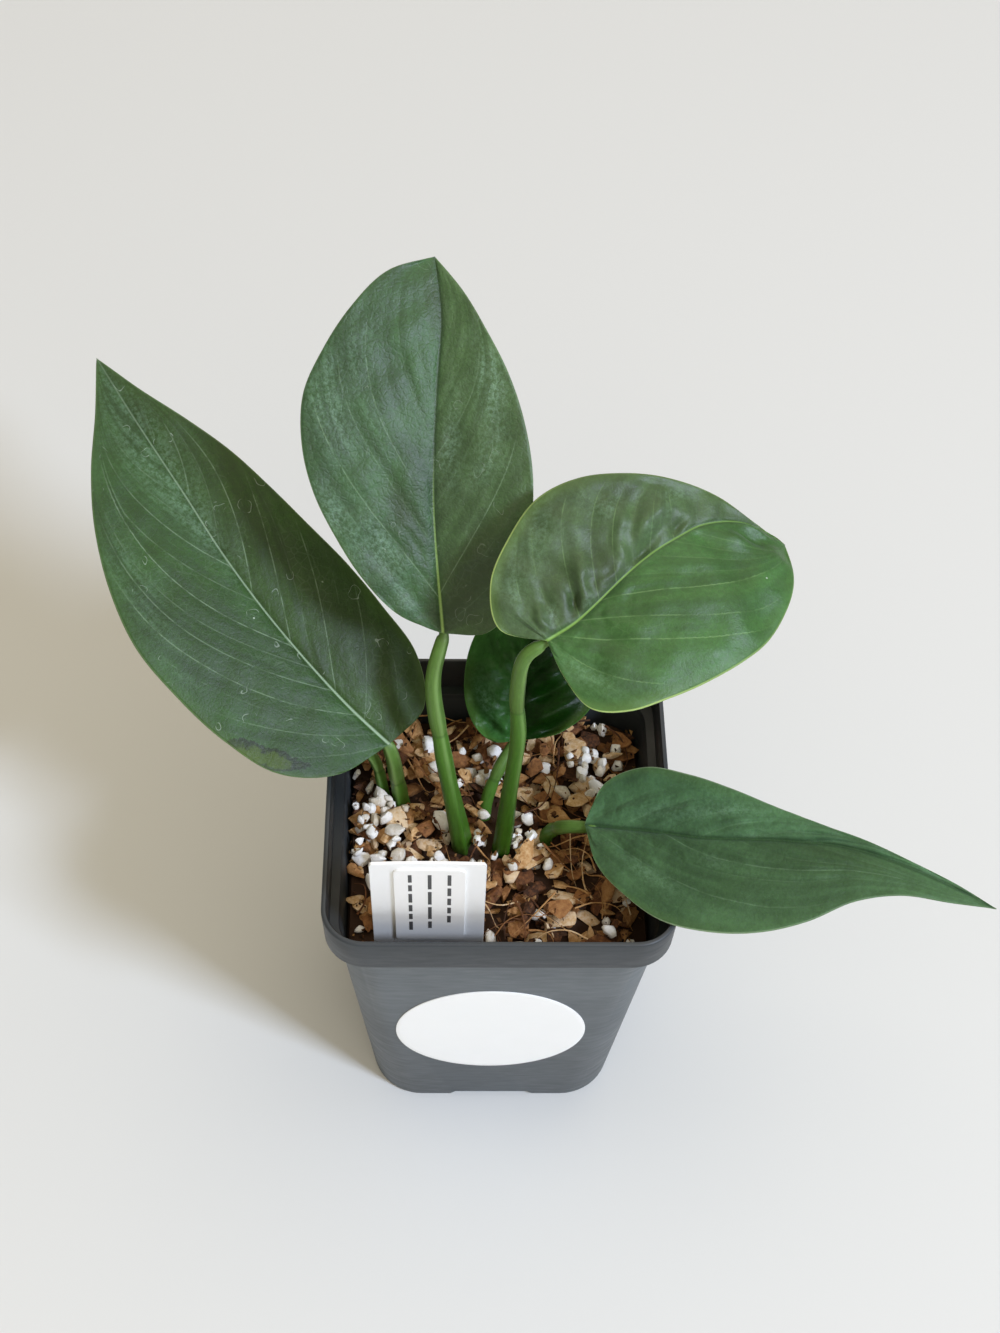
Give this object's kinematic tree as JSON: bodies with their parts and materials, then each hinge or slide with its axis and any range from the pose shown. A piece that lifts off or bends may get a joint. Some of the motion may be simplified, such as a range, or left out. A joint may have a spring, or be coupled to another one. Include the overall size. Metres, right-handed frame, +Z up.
{
  "type": "potted black velvet monstera",
  "caption": "Young velvet-leaved monstera in a square black nursery pot of bark and perlite mix, with a white plant tag and a round blank sticker.",
  "frame": {"origin": "centre of the underside of the pot, at the level it stands on", "axes": "+Z up, -Y out of the front of the pot with the sticker and the tag, +X to the right seen from there"},
  "size_m": [0.2271, 0.1372, 0.2109],
  "materials": {
    "pot_plastic": "satin",
    "tag_plastic": "satin",
    "label_paper": "matte",
    "sticker_paper": "satin",
    "bark_mix": "matte",
    "stem_skin": "satin",
    "petiole_skin": "satin",
    "leaf_velvet": "matte"
  },
  "bodies": {
    "root": {"pot": "pot_plastic", "tag": "tag_plastic", "tag_label": "label_paper", "potting_mix": "bark_mix", "stem": "stem_skin", "pot_sticker": "sticker_paper", "petiole_left": "petiole_skin", "leaf_left": "leaf_velvet", "petiole_top": "petiole_skin", "leaf_top": "leaf_velvet", "petiole_right": "petiole_skin", "leaf_right": "leaf_velvet", "petiole_back": "petiole_skin", "leaf_back": "leaf_velvet", "petiole_low": "petiole_skin", "leaf_low": "leaf_velvet", "petiole_hidden": "petiole_skin", "leaf_hidden": "leaf_velvet"}
  },
  "joints": []
}
